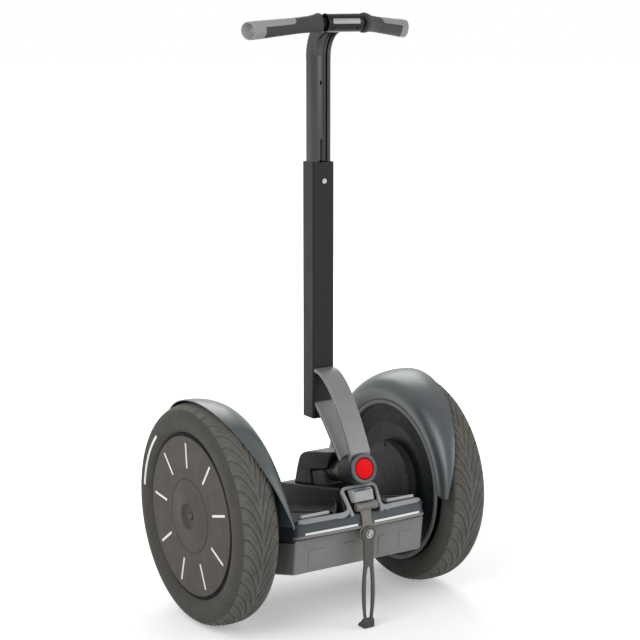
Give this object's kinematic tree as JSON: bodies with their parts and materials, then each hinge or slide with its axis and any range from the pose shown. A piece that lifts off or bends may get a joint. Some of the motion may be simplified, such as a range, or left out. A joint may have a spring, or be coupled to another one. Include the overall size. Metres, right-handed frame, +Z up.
{
  "type": "self-balancing personal transporter",
  "caption": "Two-wheeled stand-on personal transporter with a leaning mast, handlebar, geared wheel motors, fenders, foot mats and a fold-away parking stand.",
  "frame": {"origin": "on the ground under the middle of the machine's bounding box, with the axle 0.2428 m above and within 1 mm of it", "axes": "+X along the axle towards the rider's left, -Y the way it drives, +Z up; the base is parked 15 degrees nose up on its stand"},
  "size_m": [0.634, 0.4916, 1.3078],
  "materials": {
    "tyre_rubber": "moulded",
    "grip_rubber": "matt",
    "mat_rubber": "ribbed",
    "bush_rubber": "matt",
    "rim_plastic": "moulded",
    "cover_plastic": "fine texture",
    "fender_plastic": "satin",
    "guard_plastic": "satin",
    "console_plastic": "fine texture",
    "bumper_plastic": "satin",
    "trim_plastic": "satin silver",
    "panel_plastic": "satin silver",
    "battery_plastic": "fine texture",
    "cast_metal": "cast, dark coat",
    "arm_metal": "powder coat",
    "mast_metal": "dark anodised",
    "clamp_plastic": "gloss",
    "stand_metal": "cast",
    "steel": "machined",
    "motor_metal": "turned",
    "board_green": "solder mask",
    "red_enamel": "gloss"
  },
  "bodies": {
    "base": {"chassis": "cast_metal", "front_battery": "battery_plastic", "rear_battery": "battery_plastic", "front_bumper": "bumper_plastic", "rear_bumper": "bumper_plastic", "console": "console_plastic", "console_hump": "console_plastic", "console_bezel": "trim_plastic", "charge_panel": "panel_plastic", "balance_sensor": "motor_metal", "pivot_post": "cast_metal", "pivot_bush": "bush_rubber", "stand_bracket": "stand_metal", "stand_bolt": "steel", "left_motor_case": "motor_metal", "right_motor_case": "motor_metal", "left_gearbox_case": "cast_metal", "right_gearbox_case": "cast_metal", "left_gearbox_lid": "cast_metal", "right_gearbox_lid": "cast_metal", "left_wheel_bearing": "steel", "right_wheel_bearing": "steel", "left_fender": "fender_plastic", "right_fender": "fender_plastic", "left_wheel_guard": "guard_plastic", "right_wheel_guard": "guard_plastic", "left_mat_frame": "trim_plastic", "right_mat_frame": "trim_plastic", "left_control_board": "board_green", "right_control_board": "board_green"},
    "lean": {"lean_arm": "arm_metal", "medallion": "red_enamel", "mast_sleeve": "mast_metal", "height_screw": "steel"},
    "bar": {"inner_mast": "mast_metal", "handlebar_clamp": "clamp_plastic", "handlebar": "mast_metal", "left_grip": "grip_rubber", "right_grip": "grip_rubber"},
    "stand": {"stand_leg": "stand_metal", "stand_foot": "bush_rubber"},
    "flap": {"charge_flap": "panel_plastic"},
    "left_wheel": {"left_tyre": "tyre_rubber", "left_rim": "rim_plastic", "left_hub_cover": "cover_plastic", "left_hub_nut": "steel", "left_axle_shaft": "steel", "left_output_gear": "steel"},
    "left_lay_shaft": {"left_lay_gear": "steel"},
    "left_rotor": {"left_motor_rotor": "steel"},
    "left_foot_mat": {"left_mat": "mat_rubber"},
    "right_wheel": {"right_tyre": "tyre_rubber", "right_rim": "rim_plastic", "right_hub_cover": "cover_plastic", "right_hub_nut": "steel", "right_axle_shaft": "steel", "right_output_gear": "steel"},
    "right_lay_shaft": {"right_lay_gear": "steel"},
    "right_rotor": {"right_motor_rotor": "steel"},
    "right_foot_mat": {"right_mat": "mat_rubber"}
  },
  "joints": [
    {"name": "left_wheel_spin", "type": "hinge", "parent": "base", "child": "left_wheel", "pos_m": [0.268, -0.0004, 0.2428], "axis": [1, 0, 0], "continuous": true},
    {"name": "left_lay_spin", "type": "hinge", "parent": "base", "child": "left_lay_shaft", "pos_m": [0.224, -0.00112, 0.19911], "axis": [1, 0, 0], "continuous": true},
    {"name": "left_rotor_spin", "type": "hinge", "parent": "base", "child": "left_rotor", "pos_m": [0.16, -0.02033, 0.16842], "axis": [1, 0, 0], "continuous": true},
    {"name": "right_wheel_spin", "type": "hinge", "parent": "base", "child": "right_wheel", "pos_m": [-0.268, -0.0004, 0.2428], "axis": [1, 0, 0], "continuous": true},
    {"name": "right_lay_spin", "type": "hinge", "parent": "base", "child": "right_lay_shaft", "pos_m": [-0.224, -0.00112, 0.19911], "axis": [1, 0, 0], "continuous": true},
    {"name": "right_rotor_spin", "type": "hinge", "parent": "base", "child": "right_rotor", "pos_m": [-0.16, -0.02033, 0.16842], "axis": [1, 0, 0], "continuous": true},
    {"name": "lean_steer", "type": "hinge", "parent": "base", "child": "lean", "pos_m": [0, -0.15141, 0.33606], "axis": [0, 0.9659, -0.2588], "range_deg": [-18, 18], "stiffness_Nm_per_rad": 110},
    {"name": "bar_height", "type": "slide", "parent": "lean", "child": "bar", "axis": [0, 0, 1], "range_m": [-0.04, 0.08]},
    {"name": "stand_fold", "type": "hinge", "parent": "base", "child": "stand", "pos_m": [0, -0.2289, 0.2126], "axis": [0, -1, 0], "range_deg": [0, 90]},
    {"name": "flap_open", "type": "hinge", "parent": "base", "child": "flap", "pos_m": [0, -0.20888, 0.30125], "axis": [-1, 0, 0], "range_deg": [0, 80]},
    {"name": "left_mat_press", "type": "slide", "parent": "base", "child": "left_foot_mat", "axis": [0, 0.2588, 0.9659], "range_m": [-0.0015, 0], "stiffness_N_per_m": 20000},
    {"name": "right_mat_press", "type": "slide", "parent": "base", "child": "right_foot_mat", "axis": [0, 0.2588, 0.9659], "range_m": [-0.0015, 0], "stiffness_N_per_m": 20000}
  ],
  "couplings": [
    {"joint": "left_lay_spin", "follows": "left_wheel_spin", "ratio": -4.8},
    {"joint": "left_rotor_spin", "follows": "left_wheel_spin", "ratio": 24},
    {"joint": "right_lay_spin", "follows": "right_wheel_spin", "ratio": -4.8},
    {"joint": "right_rotor_spin", "follows": "right_wheel_spin", "ratio": 24}
  ]
}
